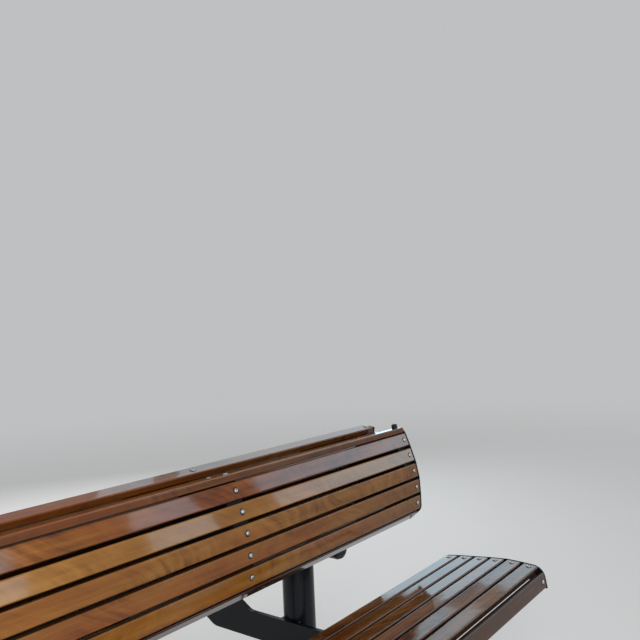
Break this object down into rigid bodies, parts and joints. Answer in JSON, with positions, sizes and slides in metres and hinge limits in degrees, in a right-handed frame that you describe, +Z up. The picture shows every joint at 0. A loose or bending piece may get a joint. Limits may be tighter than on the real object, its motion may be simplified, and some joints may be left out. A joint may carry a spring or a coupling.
{
  "type": "back-to-back slatted bench",
  "caption": "Two slatted wooden seats back to back on one black steel frame, carried by two floor posts.",
  "frame": {"origin": "on the floor, midway between the two posts, at the centre of the base plates' undersides", "axes": "+X along the bench, +Y across it towards side b's seat, +Z up"},
  "size_m": [1.59, 1.0672, 0.8577],
  "materials": {
    "varnished_wood": "glossy varnish",
    "black_paint": "gloss",
    "black_plastic": "satin",
    "screw_steel": "bright stainless"
  },
  "bodies": {
    "root": {"back_bar_a_left": "black_paint", "back_bar_a_middle": "black_paint", "back_bar_a_right": "black_paint", "back_bar_b_left": "black_paint", "back_bar_b_middle": "black_paint", "back_bar_b_right": "black_paint", "back_slat_a_1": "varnished_wood", "back_slat_a_2": "varnished_wood", "back_slat_a_3": "varnished_wood", "back_slat_a_4": "varnished_wood", "back_slat_a_5": "varnished_wood", "back_slat_a_cap": "varnished_wood", "back_slat_a_return": "varnished_wood", "back_slat_b_1": "varnished_wood", "back_slat_b_2": "varnished_wood", "back_slat_b_3": "varnished_wood", "back_slat_b_4": "varnished_wood", "back_slat_b_5": "varnished_wood", "back_slat_b_cap": "varnished_wood", "back_slat_b_return": "varnished_wood", "back_slat_middle": "varnished_wood", "base_left": "black_paint", "base_right": "black_paint", "cap_pegs": "black_plastic", "crossbeam_left": "black_paint", "crossbeam_right": "black_paint", "post_left": "black_paint", "post_right": "black_paint", "rib_left": "black_paint", "rib_middle": "black_paint", "rib_right": "black_paint", "saddle_left": "black_paint", "saddle_right": "black_paint", "seat_bar_a_left": "black_paint", "seat_bar_a_middle": "black_paint", "seat_bar_a_right": "black_paint", "seat_bar_b_left": "black_paint", "seat_bar_b_middle": "black_paint", "seat_bar_b_right": "black_paint", "seat_slat_a_1": "varnished_wood", "seat_slat_a_2": "varnished_wood", "seat_slat_a_3": "varnished_wood", "seat_slat_a_4": "varnished_wood", "seat_slat_a_5": "varnished_wood", "seat_slat_a_6": "varnished_wood", "seat_slat_a_7": "varnished_wood", "seat_slat_b_1": "varnished_wood", "seat_slat_b_2": "varnished_wood", "seat_slat_b_3": "varnished_wood", "seat_slat_b_4": "varnished_wood", "seat_slat_b_5": "varnished_wood", "seat_slat_b_6": "varnished_wood", "seat_slat_b_7": "varnished_wood", "seat_tube_a": "black_paint", "seat_tube_b": "black_paint", "spine_tube": "black_paint", "spreader_tubes": "black_paint", "tube_plugs": "black_plastic"}
  },
  "joints": []
}
